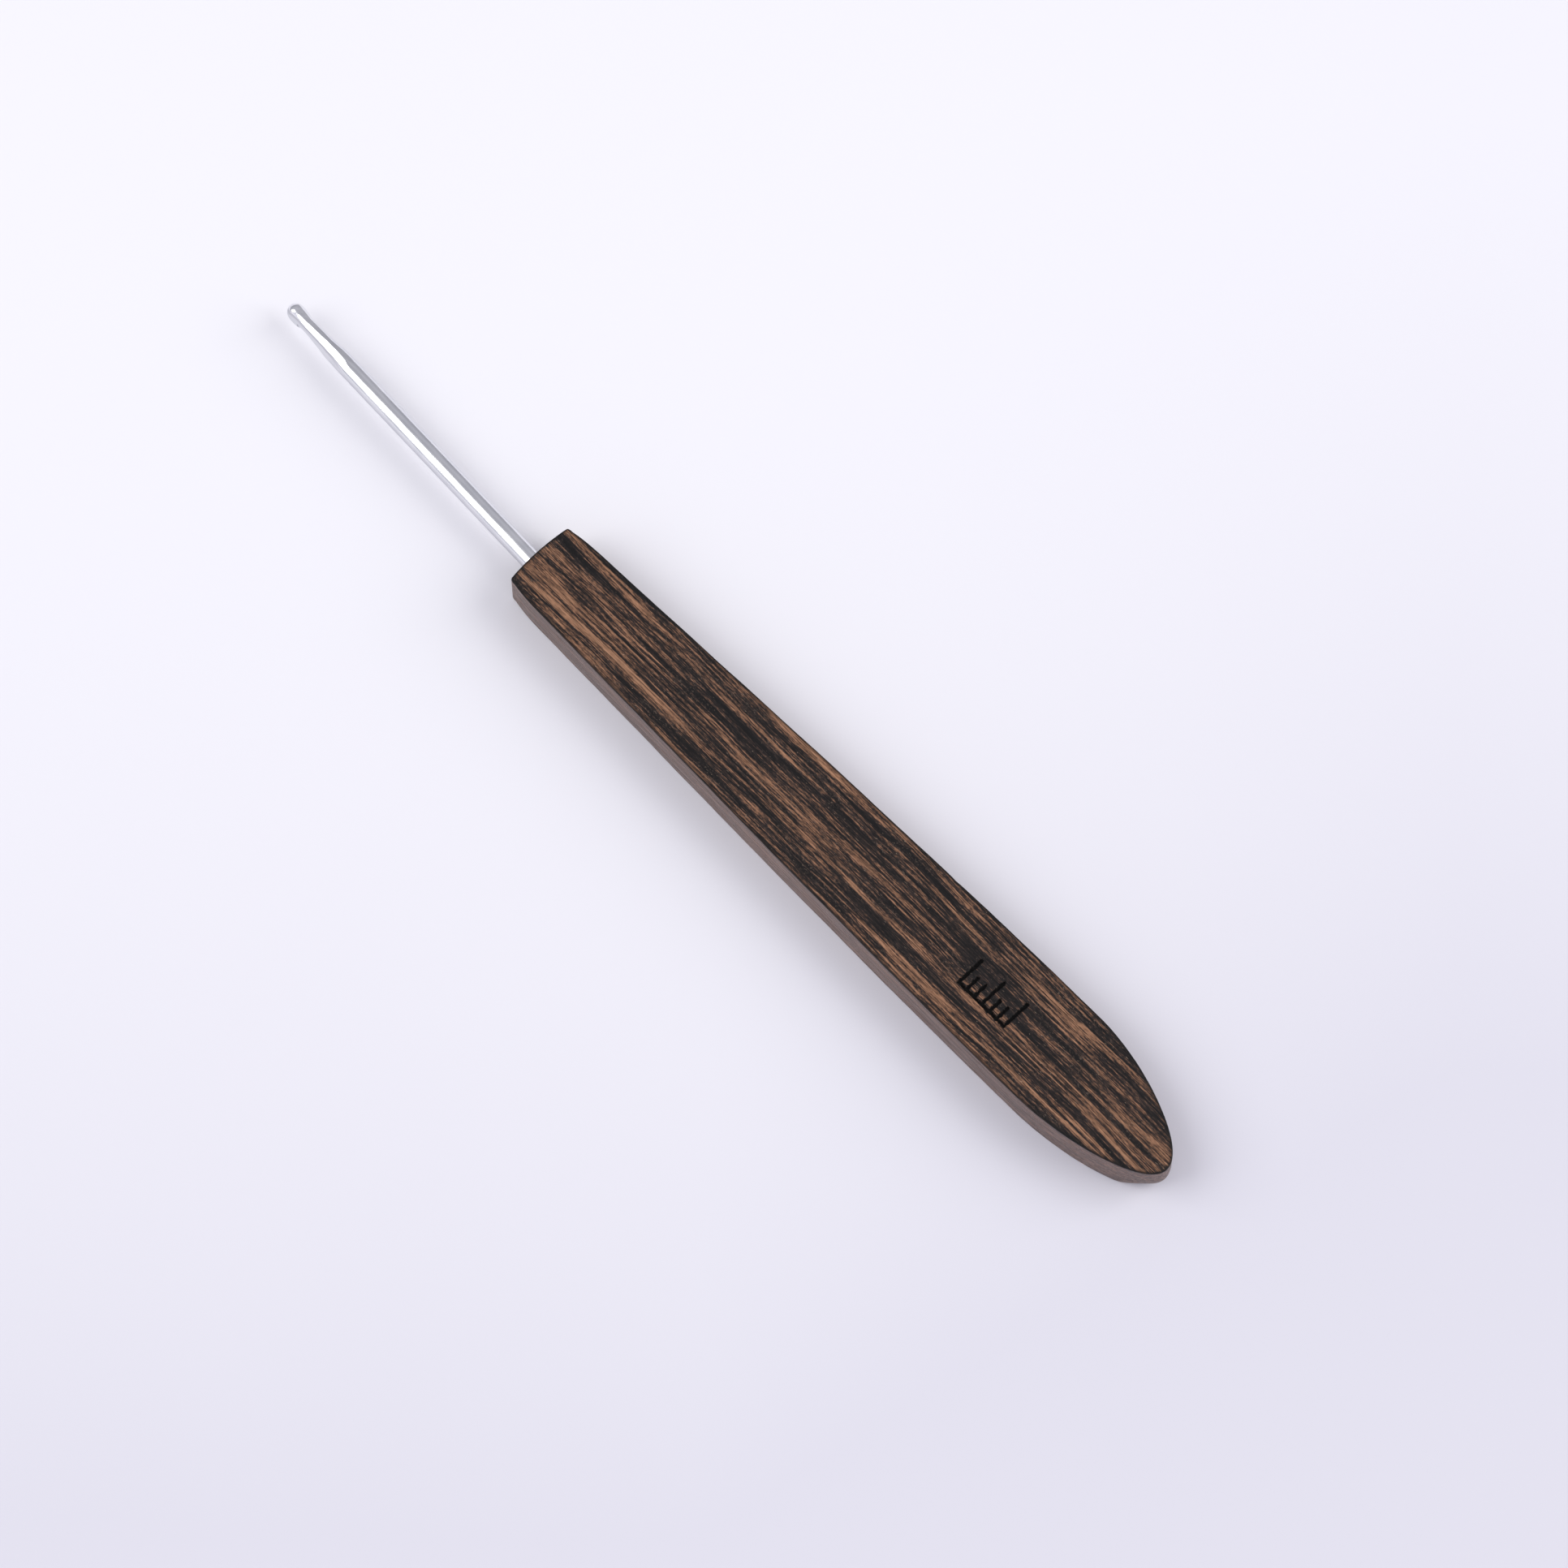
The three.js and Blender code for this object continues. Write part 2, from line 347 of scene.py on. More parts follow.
def bright_metal():
    """Bright metal with fine lines along the rod."""
    g = Nodes("bright_metal")
    along = g.coords((0.05, 7.0, 7.0))
    draw = g.noise(along, detail=3.0, rough=0.6)
    cloud = g.noise(g.coords((0.3, 0.7, 0.7)), detail=2.0)
    tone = g.mix(g.range(cloud, 0.3, 0.7), srgb(236, 237, 240), srgb(246, 246, 248))
    # A painted shade: one flank of the rod is coloured darker where the floor it reflects comes out too
    # bright.
    tone = g.mix(g.attribute("painted_flank_shade"), tone, srgb(192, 192, 197))
    g.set("Base Color", tone)
    g.set("Metallic", 1.0)
    rough = g.range(draw, 0.3, 0.7, 0.13, 0.22)
    g.set("Roughness", g.math("ADD", rough, g.range(cloud, 0.4, 0.8, 0.0, 0.05)))
    dents = g.noise(g.coords((0.45, 1.1, 1.1)), detail=2.0)
    height = g.math("ADD", g.math("MULTIPLY", draw, 0.05), g.math("MULTIPLY", dents, 0.22))
    g.set("Normal", g.bump(height, 0.05, 0.5))
    g.shader.inputs["Specular Tint"].default_value = (0.8, 0.8, 0.83, 1)
    return g.mat


def amber_glue():
    """Clear amber glue with a faint cloud."""
    g = Nodes("amber_glue")
    cloud = g.noise(g.coords((1.2, 1.2, 1.2)), detail=3.0)
    g.set("Base Color", g.ramp(cloud, [(0.3, srgb(150, 118, 74)), (0.7, srgb(188, 158, 110))]))
    g.set("Roughness", g.range(cloud, 0.3, 0.7, 0.12, 0.3))
    g.set("Normal", g.bump(g.noise(g.coords((3, 3, 3)), detail=2.0), 0.04, 0.6))
    g.set("Coat Weight", 0.4)
    g.set("Coat Roughness", 0.08)
    return g.mat


def table_top():
    """A pale table, painted paler towards its far corner: painted light standing in for the lamps'
    falloff.
    """
    g = Nodes("table_top")
    split = g.new("ShaderNodeSeparateXYZ")
    g.put(split.inputs[0], g.coords(turn=(0, 0, math.radians(-44))))
    cloud = g.noise(g.coords((0.02, 0.02, 0.02)), detail=2.0)
    across = g.range(split.outputs["X"], 0, 105, 0.0, 0.33, "LINEAR")
    clouded = g.math("ADD", split.outputs["Y"], g.math("MULTIPLY", cloud, 8.0))
    down = g.range(clouded, -112, 105, 1.0, 0.0, "LINEAR")
    fade = g.math("ADD", down, across)
    # Painted light: the colour runs from darker on the near side to paler at the far corner, standing in
    # for the lamps' falloff.
    near, far = (0.640, 0.627, 0.695, 1), (0.784, 0.774, 0.814, 1)
    g.set("Base Color", g.mix(g.math("MULTIPLY", fade, fade, clamp=True), far, near))
    g.set("Roughness", 0.6)
    g.set("Normal", g.bump(g.noise(g.coords((2.0, 2.0, 2.0)), detail=2.0), 0.01, 0.3))
    return g.mat


# ---------------------------------------------------------------- handle

def side_curve(side):
    """One long side of the plan outline, from the front corner to the nose, side +1 or -1."""
    shoulder_lead = (2.1, SHOULDER_HALF * 0.97)
    lead = bezier([(FRONT_BOW, FRONT_HALF), shoulder_lead, (SHOULDER_X, SHOULDER_HALF)], 60)
    span = WIDEST_X - SHOULDER_X
    flare = bezier([
        (SHOULDER_X, SHOULDER_HALF),
        (SHOULDER_X + span * 0.32, SHOULDER_HALF + WIDEST_HALF * 0.107),
        (SHOULDER_X + span * 0.65, WIDEST_HALF),
        (WIDEST_X, WIDEST_HALF),
    ], 400)
    rest = LENGTH - WIDEST_X
    nose = bezier([
        (WIDEST_X, WIDEST_HALF * side),
        (WIDEST_X + rest * 0.42, WIDEST_HALF * side),
        (LENGTH, NOSE_Y + side * WIDEST_HALF * 0.515),
        (LENGTH, NOSE_Y),
    ], 900)
    front = np.vstack([lead, flare[1:]]) * [1, side]
    return np.vstack([front, nose[1:]])


SIDES = {side: side_curve(side) for side in (1, -1)}


def side_y(x, side):
    """The outline's y at x, with a hand-finished waver and a rounded front corner."""
    curve = SIDES[side]
    y = np.interp(x, curve[:, 0], curve[:, 1])
    fade = smooth(LENGTH - 0.3, LENGTH - 6.0, x) * smooth(0.5, 4.0, x)
    y = y + side * fade * (0.035 * wave(x, 9.0, 2 + side) + 0.012 * wave(x, 2.2, 5 + side) - 0.02)
    near = np.clip(x - FRONT_BOW, 0, CORNER)
    y = y - side * (CORNER - np.sqrt(np.maximum(CORNER ** 2 - (CORNER - near) ** 2, 0)))
    return y


def mark_distance(x, y):
    """Distance from each plan point to the centre line of the nearest stroke of the marked rule."""
    best = np.full(x.shape, 99.0)

    def segment(ax, ay, bx, by):
        dx, dy = bx - ax, by - ay
        t = np.clip(((x - ax) * dx + (y - ay) * dy) / (dx * dx + dy * dy), 0, 1)
        np.minimum(best, np.hypot(x - ax - t * dx, y - ay - t * dy), out=best)

    length = MARK_PITCH * (MARK_TICKS - 1)
    start = MARK_X - length / 2
    segment(start, -MARK_REACH, start + length, -MARK_REACH)
    for k in range(MARK_TICKS):
        top = MARK_REACH if k % 3 == 0 else 0.05
        segment(start + MARK_PITCH * k, -MARK_REACH, start + MARK_PITCH * k, top)
    return best


def station_list():
    """Distances from the front at which the handle's mesh has a row of vertices."""
    front = np.array([0, 0.01, 0.03, 0.06, 0.1, 0.15, 0.21, 0.28, 0.36, 0.5, 0.7, 1.0])
    body = np.arange(1.4, MARK_X - 15.4, 0.6)
    mark = np.arange(MARK_X - 15.2, MARK_X + 7.9, 0.085)
    butt = np.arange(MARK_X + 8.2, LENGTH - 2.4, 0.45)
    shrink = np.linspace(1.0, 0.0, 40)
    nose = LENGTH - 2.1 * shrink ** 2
    return np.concatenate([front, body, mark, butt, nose])


# Columns near each long edge, in millimetres in from it at a half-width of 7 mm.
NOMINAL_HALF = 7
EDGE_COLUMNS = (
    0, 0.012, 0.03, 0.055, 0.085, 0.12, 0.16, 0.21,
    0.28, 0.42, 0.7, 1.1, 1.7, 2.5, 3.4, 4.2,
)


def column_list():
    """Places across the top, -1 to 1, close together over the mark and at the edges."""
    edge = 1 - np.array(EDGE_COLUMNS) / NOMINAL_HALF
    dense = np.linspace(-0.335, 0.335, 66)
    return np.concatenate([-edge, dense, edge[::-1]])


def plan_points(stations, columns):
    """Plan points of a block of stations x columns, following the outline and the bowed front."""
    x0 = np.maximum(stations, FRONT_BOW)
    upper, lower = side_y(x0, 1), side_y(x0, -1)
    first = stations < 1.0
    upper[first] = side_y(FRONT_BOW + stations[first], 1)
    lower[first] = side_y(FRONT_BOW + stations[first], -1)
    mid, half = (upper + lower) / 2, (upper - lower) / 2
    y = mid[:, None] + half[:, None] * columns[None, :]
    bow = FRONT_BOW * (y / FRONT_HALF) ** 2
    x = stations[:, None] + bow * np.clip(1 - stations[:, None] / 6, 0, 1) ** 2
    x = x + 0.012 * wave(y, 0.9, 9) * np.clip(1 - stations[:, None] / 1.0, 0, 1)
    return x, y


def rim_tools(x, y):
    """A function that gives each plan point's distance inside the rim of that grid."""
    loop = np.vstack([
        np.column_stack([x[0], y[0]]),
        np.column_stack([x[1:, -1], y[1:, -1]]),
        np.column_stack([x[-2:0:-1, 0], y[-2:0:-1, 0]]),
    ])
    keep = [loop[0]]
    for a, b in zip(loop, np.roll(loop, -1, axis=0)):
        n = max(1, int(np.hypot(*(b - a)) / 0.05))
        keep += [a + (b - a) * k / n for k in range(1, n + 1)]
    pts = np.array(keep[:-1])
    tree = kdtree.KDTree(len(pts))
    for i, p in enumerate(pts):
        tree.insert((p[0], p[1], 0), i)
    tree.balance()
    nxt, prv = np.roll(pts, -1, axis=0), np.roll(pts, 1, axis=0)
    tangent = nxt - prv
    tangent /= np.maximum(np.hypot(tangent[:, 0], tangent[:, 1]), 1e-9)[:, None]

    def distance(px, py):
        out = np.empty(px.size)
        for k, (a, b) in enumerate(zip(px.ravel(), py.ravel())):
            _, i, d = tree.find((a, b, 0))
            v = np.array([a, b]) - pts[i]
            out[k] = abs(v[0] * tangent[i, 1] - v[1] * tangent[i, 0]) if d < 0.4 else d
        return out.reshape(px.shape)

    return distance


def top_radius(x, y):
    """How far the top edge is eased, with a few worn places."""
    base = 0.13 + 0.05 * wave(x, 6.0, 21)
    worn = 0.3 * np.exp(-((x - 76.6) / 0.7) ** 2) * (y > 0)
    worn = worn + 0.12 * np.exp(-((x - 22.0) / 3.0) ** 2) * (y < 0)
    return np.maximum(base, 0.06) + worn


def bottom_radii(x, y):
    """The lower edge's easing as (inward, upward) radii.

    It is fuller under the nose and at one front corner.
    """
    nose = smooth(LENGTH - 5.5, LENGTH - 1.0, x)
    corner = smooth(5.0, 0.3, x) * (y < 0)
    base = 0.4 + 0.45 * corner + 0.06 * wave(x, 5.0, 31)
    return base + 2.3 * nose, base + 3.6 * nose


def eased(distance, radius):
    """How far a rounded edge drops below the flat at that distance from the rim."""
    d = np.clip(distance, 0, radius)
    return radius - np.sqrt(np.maximum(radius ** 2 - (radius - d) ** 2, 0))


class Shell:
    """A mesh put together from blocks of vertices and the faces between them."""

    def __init__(self):
        self.blocks, self.faces, self.count = [], [], 0

    def add(self, points):
        """Add a block and return the numbers of its vertices."""
        self.blocks.append(points)
        first = self.count
        self.count += len(points)
        return list(range(first, self.count))

    def points(self):
        return np.vstack(self.blocks)


def top_heights(x, y, rim):
    """Height of the top face, and how burnt it is, at plan points rim inside the outline."""
    z = THICK - eased(rim, top_radius(x, y))
    z = z - smooth(0.3, 2.5, rim) * (0.02 + 0.018 * wave2(x, y, 14, 5, 41))
    ragged = 0.085 * wave2(x, y, 0.3, 0.16, 51) + 0.06 * wave2(x, y, 0.9, 0.5, 52)
    stroke = mark_distance(x, y) + ragged
    groove = smooth(MARK_STROKE / 2 + 0.07, MARK_STROKE / 2 - 0.09, stroke)
    z = z - groove * MARK_DEPTH * (0.85 + 0.2 * wave2(x, y, 0.5, 0.5, 53))
    return z, smooth(MARK_STROKE / 2 + 0.10, MARK_STROKE / 2, stroke)


def low_heights(x, y, rim):
    """Height of the underside at plan points rim inside the outline."""
    inward, upward = bottom_radii(x, y)
    z = eased(rim, inward) * upward / inward
    return z + smooth(0.3, 2.5, rim) * 0.016 * np.maximum(1 + wave2(x, y, 16, 6, 42), 0)


WALL_ROWS = (0.02, 0.05, 0.1, 0.2, 0.35, 0.5, 0.65, 0.8, 0.93)  # shares of the wall's height


def side_wall(shell, top_ids, low_ids):
    """A wall between two rows of vertices. It returns all its rows, from the top one down."""
    points = shell.points()
    top, low = points[top_ids], points[low_ids]
    rows = [top_ids, *(shell.add(top + (low - top) * share) for share in WALL_ROWS), low_ids]
    for upper, lower in zip(rows, rows[1:]):
        for k in range(len(upper) - 1):
            shell.faces.append((upper[k], lower[k], lower[k + 1], upper[k + 1]))
    return rows


# The front face's rings, as shares of the way in to the bore, and the bore's, as (depth, share of
# its radius).
FACE_RINGS = (0.05, 0.12, 0.25, 0.4, 0.55, 0.7, 0.85, 0.96, 1.0)
BORE_RINGS = (
    (0.06, 0.97), (0.3, BORE_FIT), (2, BORE_FIT), (10, BORE_FIT), (22, BORE_FIT),
    (BORE_DEPTH, BORE_FIT), (BORE_DEPTH + 0.6, 0.4),
)


def front_end(shell, outer):
    """Rings from the front's outer loop in to the bore's mouth, then down the bore."""
    loop = shell.points()[outer]
    mouth_y = bore_y(0)
    angle = np.arctan2(loop[:, 2] - MID_Z, loop[:, 1] - mouth_y)
    circle_y = mouth_y + BORE_R * np.cos(angle)
    circle = np.column_stack([
        FRONT_BOW * (circle_y / FRONT_HALF) ** 2, circle_y, MID_Z + BORE_R * np.sin(angle),
    ])
    rings = [outer]
    for share in FACE_RINGS:
        p = loop + (circle - loop) * share
        bow = FRONT_BOW * (p[:, 1] / FRONT_HALF) ** 2
        lip = 0.03 if share == 1.0 else 0
        p[:, 0] = bow + 0.01 * wave2(p[:, 1], p[:, 2], 0.8, 0.5, 61) + lip
        rings.append(shell.add(p))
    for depth, share in BORE_RINGS:
        rings.append(shell.add(np.column_stack([
            np.full(len(loop), float(depth)),
            bore_y(depth) + BORE_R * share * np.cos(angle),
            MID_Z + BORE_R * share * np.sin(angle),
        ])))
    m = len(outer)
    for r0, r1 in zip(rings, rings[1:]):
        shell.faces += [(r0[k], r0[(k + 1) % m], r1[(k + 1) % m], r1[k]) for k in range(m)]
    shell.faces.append(tuple(rings[-1]))


def handle_piece(material):
    """The handle: top and underside grids, side walls, front end and bore, with the mark, a dark edge
    line and the walls' painted sheen as values on the vertices.
    """
    x, y = plan_points(station_list(), column_list())
    rim = rim_tools(x, y)(x, y)
    z_top, burn = top_heights(x, y, rim)
    z_low = low_heights(x, y, rim)
    rows, cols = x.shape
    # The underside is flat, so it has every sixth column between its edges.
    low = np.concatenate([np.arange(16), np.arange(18, cols - 18, 6), np.arange(cols - 16, cols)])
    low_cols = len(low)

    shell = Shell()
    shell.add(np.column_stack([x.ravel(), y.ravel(), z_top.ravel()]))
    first_low = shell.count
    shell.add(np.column_stack([x[:, low].ravel(), y[:, low].ravel(), z_low[:, low].ravel()]))
    first_wall = shell.count
    shell.faces += grid_faces(0, rows - 1, cols, flip=True)
    shell.faces += grid_faces(first_low, rows - 1, low_cols)

    # The nose is one upright line, where both grids close.
    nose_top, nose_low = first_low - 1 - cols // 2, first_wall - 1 - low_cols // 2
    last_top, last_low = (rows - 2) * cols, first_low + (rows - 2) * low_cols
    shell.faces += [(last_top + j + 1, nose_top, last_top + j) for j in range(cols - 1)]
    shell.faces += [(last_low + j, nose_low, last_low + j + 1) for j in range(low_cols - 1)]

    def side_ids(top_col, low_col):
        top_ids = [r * cols + top_col for r in range(rows - 1)] + [nose_top]
        low_ids = [first_low + r * low_cols + low_col for r in range(rows - 1)] + [nose_low]
        return top_ids, low_ids

    near = side_wall(shell, *side_ids(0, 0))
    far_top, far_low = side_ids(cols - 1, low_cols - 1)
    far = side_wall(shell, far_top[::-1], far_low[::-1])

    outer = list(range(cols))
    outer += [ids[-1] for ids in far[1:-1]]
    outer += [first_low + j for j in range(low_cols - 1, -1, -1)]
    outer += [ids[0] for ids in near[-2:0:-1]]
    front_end(shell, outer)

    out = shell.points() + [HANDLE_LO.x, 0, 0]
    obj = build("handle_wood", out, shell.faces, [material])
    # The top face's rim and the top of the walls are drawn near black, a dark line whose strength wavers
    # along the length.
    from_edge = np.concatenate([rim.ravel(), 0.85 * (THICK - out[first_low:, 2])])
    worn = 0.85 + 0.15 * wave(out[:, 0], 2.5, 54)
    edge = np.clip(1.5 * np.exp(-(from_edge / 0.3) ** 2) * worn, 0, 1)
    # The walls, and the underside towards its edge, are marked for the painted sheen and the smoother
    # finish.
    smooth_wall_and_sheen = np.ones(len(out))
    smooth_wall_and_sheen[:first_low] = 0
    smooth_wall_and_sheen[first_low:first_wall] = 0.15 + 0.85 * smooth(1.2, 0.3, rim[:, low]).ravel()
    burnt = np.zeros(len(out))
    burnt[:first_low] = burn.ravel()
    for label, shade in (("burn", burnt), ("edge", edge), ("smooth_wall_and_sheen", smooth_wall_and_sheen)):
        add_shade(obj, label, shade)
    return obj


def bore_y(depth):
    """Where the leaning bore's centre is, at a depth from the front end."""
    return TIP.y - (HANDLE_LO.x + depth - TIP.x) * math.tan(LEAN)


# ---------------------------------------------------------------- hook

def rod_radius(s):
    """Radius of the round blank at a distance s from the tip."""
    head = bezier([(0, 0), (0, HEAD_R * 0.6), (HEAD_X * 0.45, HEAD_R), (HEAD_X, HEAD_R)])
    neck = bezier([(HEAD_X, HEAD_R), (2.6, HEAD_R), (3.0, NECK_R), (NECK_X, NECK_R)])
    taper = bezier([(NECK_X, NECK_R), (7.0, NECK_R), (9.5, ROD_R), (TAPER_END, ROD_R)])
    line = np.vstack([head, neck[1:], taper[1:]])
    end = REACH + TANG
    r = np.interp(s, line[:, 0], line[:, 1])
    return np.where(s > end - 0.4, np.minimum(r, ROD_R - (s - (end - 0.4))), r)


# The mouth's floor and the ramp out of it: distances from the tip and heights from the rod's axis.
MOUTH_X, MOUTH_BACK = 2.7, -0.58
RAMP_START, RAMP_END = (4.4, -0.52), (12.8, -1.58)
MOUTH_FLOOR = bezier([(MOUTH_X, MOUTH_BACK), (3.0, -0.5), (3.6, -0.5), RAMP_START], 40)
MOUTH_RAMP = bezier([RAMP_START, (6.8, -0.72), (9.5, -1.2), RAMP_END], 60)


def mouth_floor(s):
    """Height of the cut floor above the rod's axis; far below it where nothing is cut."""
    line = np.vstack([MOUTH_FLOOR, MOUTH_RAMP[1:]])
    z = np.interp(s, line[:, 0], line[:, 1])
    return np.where(s < MOUTH_X, -9.0, z - 0.5 * np.clip(s - RAMP_END[0], 0, 20))


def rod_stations():
    """Distances from the tip at which the rod's mesh has a ring of vertices.

    They come with the place and number of the rings in the lip's back wall.
    """
    tip = HEAD_X * (1 - np.cos(np.linspace(0, math.pi / 2, 44)))
    head = np.arange(1.74, MOUTH_X - 0.1, 0.04)
    wall = np.array([MOUTH_X - 0.06, MOUTH_X - 0.03, MOUTH_X - 0.01])
    step = MOUTH_X + 0.004 * np.arange(14)
    throat = np.arange(MOUTH_X + 0.07, 13.4, 0.05)
    shank = np.arange(13.8, REACH + 1, 0.4)
    tang = np.linspace(REACH + 2, REACH + TANG - 0.45, 14)
    end = REACH + TANG - np.array([0.38, 0.25, 0.12, 0.0])
    stations = np.concatenate([tip, head, wall, step, throat, shank, tang, end])
    return stations, len(tip) + len(head) + len(wall), len(step)


# Each flat on the head and neck: the way it faces, in degrees from straight up towards +Y, the
# softness of its edges, its unevenness, and how far it lies from the rod's axis at distances from
# the tip.
FLATS = (
    (-22, 0.035, 0.004, (
        (1.2, 1.40), (1.5, 1.36), (1.9, 1.18), (3.0, 1.03),
        (4.2, 0.87), (8.0, 0.84), (10.0, 1.07), (12.8, 1.50))),
    (-62, 0.050, 0.002, (
        (1.0, 1.20), (1.5, 1.06), (3.0, 0.93), (4.0, 0.85),
        (8.0, 0.83), (10.0, 1.06), (12.8, 1.50))),
    (28, 0.035, 0.006, (
        (1.0, 1.20), (2.0, 1.02), (3.0, 0.95), (5.0, 0.92),
        (8.0, 1.05), (10.0, 1.20), (13.2, 1.50))),
    (56, 0.040, 0.003, (
        (1.0, 1.25), (2.0, 1.12), (3.0, 1.04), (5.0, 1.08),
        (8.0, 1.15), (10.0, 1.30), (13.2, 1.52))),
)


def flattened(ss, yy, zz, along, worked):
    """The rod's section with the flats pressed into it where it is worked."""
    for turn, edge, coarse, reach in FLATS:
        ny, nz = math.sin(math.radians(turn)), math.cos(math.radians(turn))
        around = np.arctan2(zz, yy)
        uneven = coarse * smooth(10.5, 8.5, along) * wave2(ss, around, 0.2, 0.6, 72 + turn)
        depth = yy * ny + zz * nz - eased_line(reach, along) - uneven
        over = worked * edge * np.logaddexp(0, depth / edge)
        yy, zz = yy - over * ny, zz - over * nz
    return yy, zz


def rod_piece(material):
    """The hook's rod: a round blank with its mouth cut, its head rolled and its flats pressed."""
    s, step_at, steps = rod_stations()
    radius = rod_radius(s)
    floor = mouth_floor(s)
    # Across the lip's back wall the floor rises from the rod's underside to the bottom of the mouth.
    lip = -rod_radius(np.array([MOUTH_X]))[0]
    rise = smooth(0, 1, np.linspace(0, 1, steps))
    floor[step_at:step_at + steps] = lip + (MOUTH_BACK - lip) * rise
    segs = 120
    phi = np.linspace(0, 2 * math.pi, segs, endpoint=False)
    yy = radius[:, None] * np.cos(phi)
    zz = radius[:, None] * np.sin(phi)
    cut = floor[:, None]
    soft = 0.08
    zz = np.where(cut < -5, zz, cut + soft * np.logaddexp(0, (zz - cut) / soft))
    along = s[:, None]
    near_lip = smooth(0.6, MOUTH_X, along) * smooth(6.0, MOUTH_X, along)
    ss = along + 0.85 * np.clip(MOUTH_BACK - zz, 0, 2) * near_lip
    # The whole head is rolled so that the mouth looks down and to one side.
    cr, sr = math.cos(ROLL), math.sin(ROLL)
    yy, zz = yy * cr + zz * sr, zz * cr - yy * sr

    worked = smooth(0.4, 1.2, along) * smooth(13.4, 12.4, along)
    yy, zz = flattened(ss, yy, zz, along, worked)
    # The faces of the head and throat waver a little.
    scale = 1 + worked * 0.008 * wave2(ss, np.arctan2(zz, yy), 1.3, 0.9, 71)
    yy, zz = yy * scale, zz * scale
    # A small nick on one side of the plain shank.
    nick_x, nick_angle = 31.5, 0.9
    nick = np.exp(-((ss - nick_x) / 0.35) ** 2) * np.exp(-((phi[None, :] - nick_angle) / 0.25) ** 2)
    yy, zz = yy * (1 - 0.03 * nick), zz * (1 - 0.03 * nick)

    theta = np.degrees(np.arctan2(yy, zz))
    # The neck stands a little to one side of the shank.
    yy = yy - 0.1 * smooth(2.6, 3.8, along) * smooth(11.0, 8.5, along)
    # One flank's colour is painted darker, a painted shade that dims the floor reflected in it, which
    # comes out too bright.
    necked = smooth(15.0, 9.0, along)
    painted_flank_shade = necked * smooth(-38, -46, theta) * (1 - 0.5 * smooth(-52, -74, theta))
    painted_flank_shade = (painted_flank_shade + (1 - necked) * 0.5 * smooth(-48, -62, theta)) * smooth(-135, -110, theta)

    ca, sa = math.cos(LEAN), math.sin(LEAN)
    verts = np.column_stack([
        (TIP.x + ss * ca + yy * sa).ravel(),
        (TIP.y - ss * sa + yy * ca).ravel(),
        (TIP.z + zz).ravel(),
    ])
    rows = len(s)
    faces = grid_faces(segs, rows - 1, segs, wrap=True)
    # The first ring is the tip, so all but one of its vertices are dropped.
    faces += [(0, segs + (j + 1) % segs, segs + j) for j in range(segs)]
    faces.append(tuple(range((rows - 1) * segs, rows * segs)))
    used = np.ones(len(verts), bool)
    used[1:segs] = False
    index = np.cumsum(used) - 1
    faces = [tuple(int(index[v]) for v in f) for f in faces]
    obj = build("hook_metal_rod", verts[used], faces, [material])
    add_shade(obj, "painted_flank_shade", painted_flank_shade.ravel()[used])
    return obj


# ---------------------------------------------------------------- glue

def glue_piece(material):
    """A thin sleeve between tang and bore, with a small hollow ring of glue at the mouth."""
    segs = 96
    phi = np.linspace(0, 2 * math.pi, segs, endpoint=False)
    inner, outer = ROD_R + 0.02, BORE_R * BORE_FIT - 0.01
    profile = [
        (0.1, outer), (0.16, outer - 0.05), (0.2, (inner + outer) / 2), (0.15, inner + 0.05),
        (0.08, inner), (1.0, inner), (12, inner), (TANG, inner), (TANG + 0.6, inner * 0.8),
        (TANG + 0.6, outer * 0.8), (TANG + 0.3, outer), (12, outer), (1.0, outer),
    ]
    blocks = []
    for depth, r in profile:
        d = depth + 0.02 * np.sin(phi * 3 + 0.7)
        blocks.append(np.column_stack([
            HANDLE_LO.x + d,
            np.full(segs, bore_y(depth)) + r * np.cos(phi),
            MID_Z + r * np.sin(phi),
        ]))
    rows = len(profile)
    faces = []
    for i in range(rows):
        k = (i + 1) % rows
        for j in range(segs):
            m = (j + 1) % segs
            faces.append((i * segs + j, i * segs + m, k * segs + m, k * segs + j))
    return build("glue_ring", np.vstack(blocks), faces, [material])


# ---------------------------------------------------------------- stage

BOX_TINT = (1.0, 1.0, 0.97)


def softbox(name, direction, distance, side, power):
    """A square area light, aimed at the middle of the object."""
    d = Vector(direction).normalized()
    light = bpy.data.lights.new(name, "AREA")
    light.shape = "RECTANGLE"
    light.size = light.size_y = side
    light.energy = power
    light.color = BOX_TINT
    obj = bpy.data.objects.new(name, light)
    obj.location = d * distance
    obj.rotation_mode = "QUATERNION"
    obj.rotation_quaternion = d.to_track_quat("Z", "Y")
    bpy.context.scene.collection.objects.link(obj)


# The room's brightness from straight down, 0, to straight up, 1, and how it changes sideways.
WORLD_STOPS = ((0.0, 0.43), (0.3, 0.44), (0.5, 0.49), (0.74, 0.51), (0.9, 0.40), (1.0, 0.36))
WORLD_BLUE = 1.11
WORLD_LEVEL = 1.26
WORLD_SLOPES = (("X", 0.3), ("Y", -0.25))
TABLE_HALF = 3000


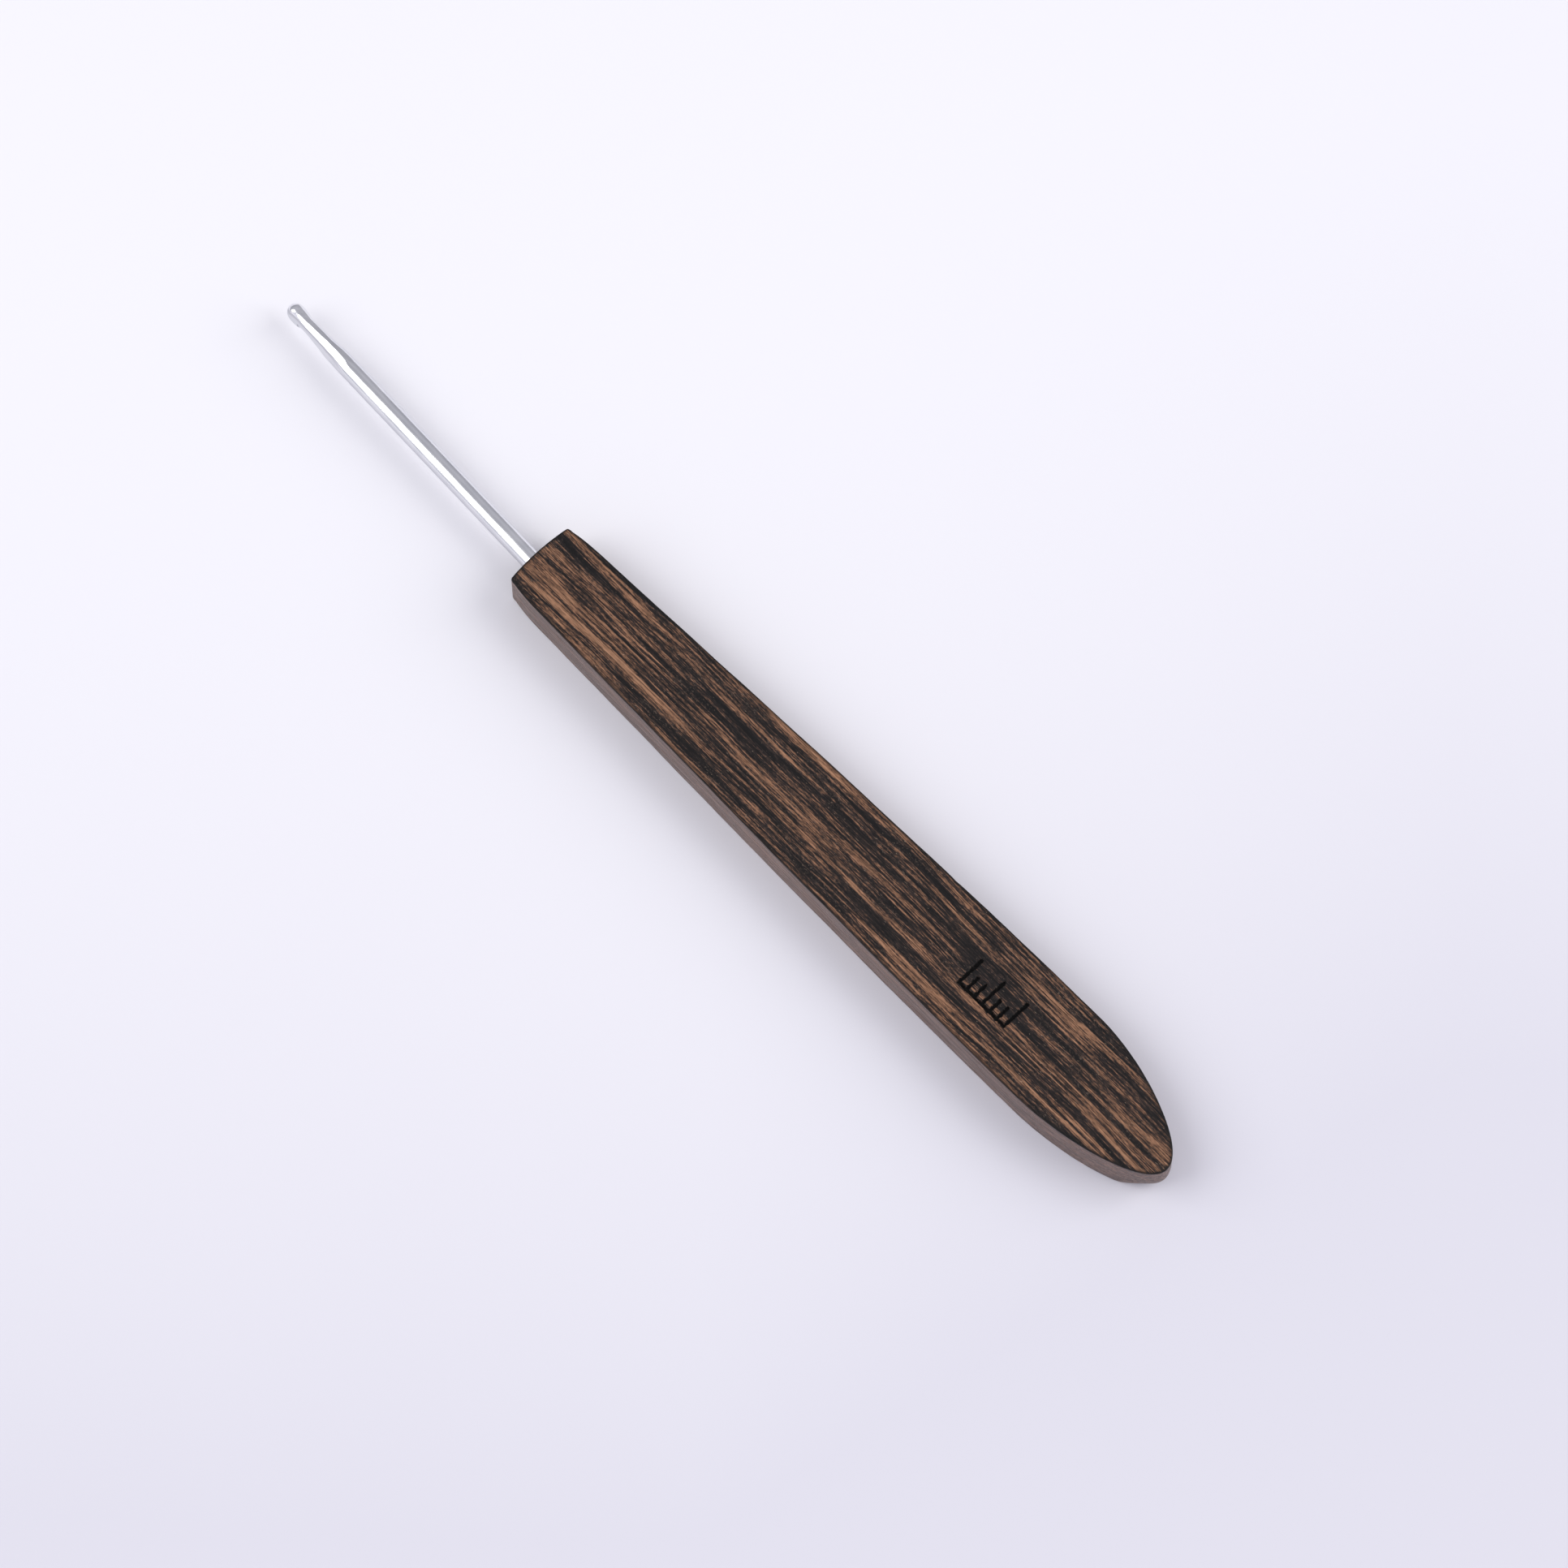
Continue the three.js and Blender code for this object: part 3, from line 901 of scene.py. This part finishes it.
def studio():
    """The pale table, two soft boxes and the room's own light."""
    h = TABLE_HALF
    corners = [(-h, -h, 0), (h, -h, 0), (h, h, 0), (-h, h, 0)]
    floor = build("table", corners, [(0, 1, 2, 3)], [table_top()], smooth_faces=False)
    softbox("left_box", (-0.46, -0.50, 0.72), 1.8, 1.5, 17.0)
    softbox("right_box", (0.55, 0.60, 0.57), 2.2, 1.8, 33.0)
    world = bpy.data.worlds.new("studio_air")
    bpy.context.scene.world = world
    world.use_nodes = True
    tree = world.node_tree
    back = tree.nodes["Background"]
    tex = tree.nodes.new("ShaderNodeTexCoord")
    split = tree.nodes.new("ShaderNodeSeparateXYZ")
    ramp = tree.nodes.new("ShaderNodeValToRGB")
    tree.links.new(tex.outputs["Generated"], split.inputs[0])
    tree.links.new(split.outputs["Z"], ramp.inputs[0])
    tree.links.new(ramp.outputs["Color"], back.inputs["Color"])
    while len(ramp.color_ramp.elements) < len(WORLD_STOPS):
        ramp.color_ramp.elements.new(0.5)
    for e, (at, v) in zip(ramp.color_ramp.elements, WORLD_STOPS):
        e.position, e.color = at, (v, v, v * WORLD_BLUE, 1)
    strength = WORLD_LEVEL
    for axis, slope in WORLD_SLOPES:
        add = tree.nodes.new("ShaderNodeMath")
        add.operation = "MULTIPLY_ADD"
        tree.links.new(split.outputs[axis], add.inputs[0])
        add.inputs[1].default_value = slope * WORLD_LEVEL
        if isinstance(strength, float):
            add.inputs[2].default_value = strength
        else:
            tree.links.new(strength, add.inputs[2])
        strength = add.outputs[0]
    tree.links.new(strength, back.inputs["Strength"])


AZIMUTH, ELEVATION = math.radians(45.88), math.radians(70.0)
CAMERA_DISTANCE = 1.2
LENS = 194.68
# Where the camera looks, from the middle of the frame: along +X, and to its own right and down.
AIM_X, AIM_RIGHT, AIM_DOWN = 0.177, 9.24, 5.44


def camera():
    ca, sa = math.cos(AZIMUTH), math.sin(AZIMUTH)
    ce, se = math.cos(ELEVATION), math.sin(ELEVATION)
    back = Vector((sa * ce, -ca * ce, se))
    right = Vector((ca, sa, 0))
    up = Vector((-se * sa, se * ca, ce))
    aim = (Vector((AIM_X, 0, 0)) + right * AIM_RIGHT - up * AIM_DOWN) * MM
    data = bpy.data.cameras.new("camera")
    data.lens = LENS
    data.sensor_width = 36
    obj = bpy.data.objects.new("camera", data)
    obj.location = aim + back * CAMERA_DISTANCE
    obj.rotation_mode = "QUATERNION"
    obj.rotation_quaternion = back.to_track_quat("Z", "Y")
    data.clip_start, data.clip_end = 0.05, 20
    bpy.context.scene.collection.objects.link(obj)
    bpy.context.scene.camera = obj


# ---------------------------------------------------------------- assembly

camera()
handle = handle_piece(wenge())
rod = rod_piece(bright_metal())
glue = glue_piece(amber_glue())
for piece, node, slot in (
    (handle, "handle", "handle_wood"),
    (rod, "hook_rod", "hook_metal"),
    (glue, "glue_sleeve", "glue"),
):
    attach(piece, "root")
    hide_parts(node)
studio()
bpy.context.scene.view_settings.view_transform = "Standard"

bpy.context.view_layer.update()
